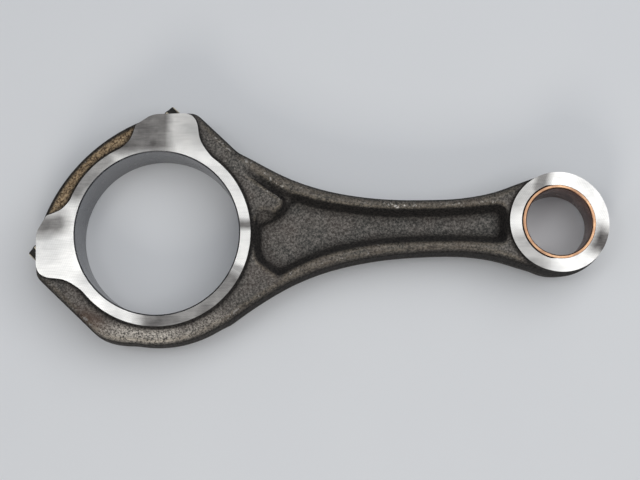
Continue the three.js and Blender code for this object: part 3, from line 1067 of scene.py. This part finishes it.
# %% Bolt parts
BOLT_STEPS = 64
BOLT_TIP = -18
THREAD_END = 5
THREAD_R = 5.3
THREAD_ROOT = 4.6
PITCH = 1.25
WAIST_R = 4.7
WAIST_END = 24
SHANK_R = 5.5
FLANGE_R = 8.8
FLANGE_RIM = 1.3
FLANGE_HEIGHT = 3.2
FLANGE_EDGE = 0.3
HEAD_R = 5.9
HEAD_TOP = 45.5
LOBES = 6
LOBE_DEPTH = 0.9
HEAD_STEPS = 120
HEAD_ROUNDING = [(0.2, 0.4), (0.5, 0.35)]
HEAD_EDGE = 0.8
SEAT_GAP = 0.05
HEAD_FOOT = BOLT_SEAT + SEAT_GAP + FLANGE_HEIGHT
RIDGE_DEPTH = 0.2


def thread():
    """A threaded rod from the bolt's tip to the end of its thread."""
    shape = bmesh.new()
    turns = math.ceil((THREAD_END - BOLT_TIP) / PITCH) + 2
    start = BOLT_TIP - PITCH
    heights = [start + i * PITCH / 2 for i in range(2 * turns)]
    zigzag = [shape.verts.new(((THREAD_ROOT, THREAD_R)[i % 2], 0, z)) for i, z in enumerate(heights)]
    edges = [shape.edges.new(pair) for pair in zip(zigzag, zigzag[1:])]
    rise = (0, 0, PITCH / BOLT_STEPS)
    spin = {"cent": (0, 0, 0), "axis": (0, 0, 1), "dvec": rise, "angle": 2 * math.pi, "steps": BOLT_STEPS}
    bmesh.ops.spin(shape, geom=zigzag + edges, use_merge=False, **spin)
    bmesh.ops.remove_doubles(shape, verts=shape.verts, dist=0.01)
    sliced(shape, (0, 0, BOLT_TIP + 1), (0, 0, -1))
    sliced(shape, (0, 0, THREAD_END), (0, 0, 1))
    bmesh.ops.recalc_face_normals(shape, faces=shape.faces)
    return shape


def stem():
    """The tip, core, waist, shank and flange as one spun profile."""
    seat = BOLT_SEAT + SEAT_GAP
    rim = seat + FLANGE_RIM
    profile = [(0, BOLT_TIP), (3.6, BOLT_TIP), (THREAD_ROOT, BOLT_TIP + 0.8)]
    profile += [(THREAD_ROOT - 0.15, THREAD_END - 0.5), (WAIST_R, THREAD_END + 0.8), (WAIST_R, WAIST_END)]
    profile += [(SHANK_R, WAIST_END + 1), (SHANK_R, seat), (FLANGE_R - FLANGE_EDGE, seat)]
    profile += [(FLANGE_R, seat + FLANGE_EDGE), (FLANGE_R, rim - FLANGE_EDGE), (FLANGE_R - FLANGE_EDGE, rim)]
    profile += [(HEAD_R + 0.3, HEAD_FOOT), (0, HEAD_FOOT)]
    shape = bmesh.new()
    corners = [shape.verts.new((r, 0, z)) for r, z in profile]
    edges = [shape.edges.new(pair) for pair in zip(corners, corners[1:])]
    full_spin(shape, corners + edges, (0, 0, 0), BOLT_STEPS)
    bmesh.ops.recalc_face_normals(shape, faces=shape.faces)
    return shape


# %% [markdown]
# The head starts as a circle, whose points are pulled in towards the axis by a cosine with six waves.
# It is extruded, and its top is inset and raised twice for a rounded edge.

# %% Bolt head
def head():
    low = BOLT_SEAT + SEAT_GAP + FLANGE_RIM
    shape = bmesh.new()
    at = Matrix.Translation((0, 0, low))
    bmesh.ops.create_circle(shape, cap_ends=True, segments=HEAD_STEPS, radius=1, matrix=at)
    for vert in shape.verts:
        around = math.atan2(vert.co.y, vert.co.x)
        reach = HEAD_R - LOBE_DEPTH * (1 + math.cos(LOBES * around)) / 2
        vert.co.xy = vert.co.xy.normalized() * reach
    grown = bmesh.ops.extrude_face_region(shape, geom=shape.faces[:])["geom"]
    top = next(g for g in grown if isinstance(g, bmesh.types.BMFace))
    bmesh.ops.translate(shape, verts=top.verts, vec=(0, 0, HEAD_TOP - HEAD_EDGE - low))
    bmesh.ops.recalc_face_normals(shape, faces=shape.faces)
    for sideways, rise in HEAD_ROUNDING:
        lean_in(shape, top, sideways, rise)
    return shape


def rubbed_crests(mesh):
    """1 on the ridges of the lobes, the flange's rim and the thread's crests, and 0 elsewhere."""
    x, y, height = read(mesh.vertices, "co", 3).T
    radius = numpy.hypot(x, y)
    ridge = numpy.where(height > HEAD_FOOT, HEAD_R, numpy.where(height > THREAD_END, FLANGE_R, THREAD_R))
    return numpy.clip(1 - (ridge - radius) / RIDGE_DEPTH, 0, 1)


def cap_bolt(name, side, body, node):
    """One bolt, finished and put in its hole. The side is 1 for the upper ear and -1 for the lower one."""
    added = [new_object("thread", thread()), new_object("head", head())]
    bolt = combined(new_object("bolt", stem()), "UNION", *added)
    wear = rubbed_crests(bolt.data)
    bolt.data.transform(TO_BOLT @ Matrix.Translation((side * BOLT_OFFSET, 0, 0)))
    bolt.data.materials.clear()
    bolt.data.materials.append(bolt_finish)
    return finished(bolt, name, body, node, wear)


cap_bolt("upper_cap_bolt", 1, "upper_bolt", "cap_bolt_upper")
cap_bolt("lower_cap_bolt", -1, "lower_bolt", "cap_bolt_lower")

# %% [markdown]
# ## The table
# A plain pale table, with a trace of unevenness in its colour so that it doesn't look like paper cut out
# by a machine.

# %% Table
TABLE_SIZE = 8


def table_top():
    material, place, surface = new_material("table", (0.7, 0.72, 0.75, 1))
    tone = mixed(cloud(place, 120 * MM), (0.76, 0.78, 0.81, 1), (0.80, 0.82, 0.84, 1))
    feed(surface, {"Base Color": tone, "Roughness": 0.7})
    shape = bmesh.new()
    bmesh.ops.create_grid(shape, x_segments=1, y_segments=1, size=TABLE_SIZE / 2)
    mesh = bpy.data.meshes.new("table")
    shape.to_mesh(mesh)
    shape.free()
    mesh.materials.append(material)
    table = bpy.data.objects.new("table", mesh)
    scene.collection.objects.link(table)
    print("table:", TABLE_SIZE, "m")


table_top()
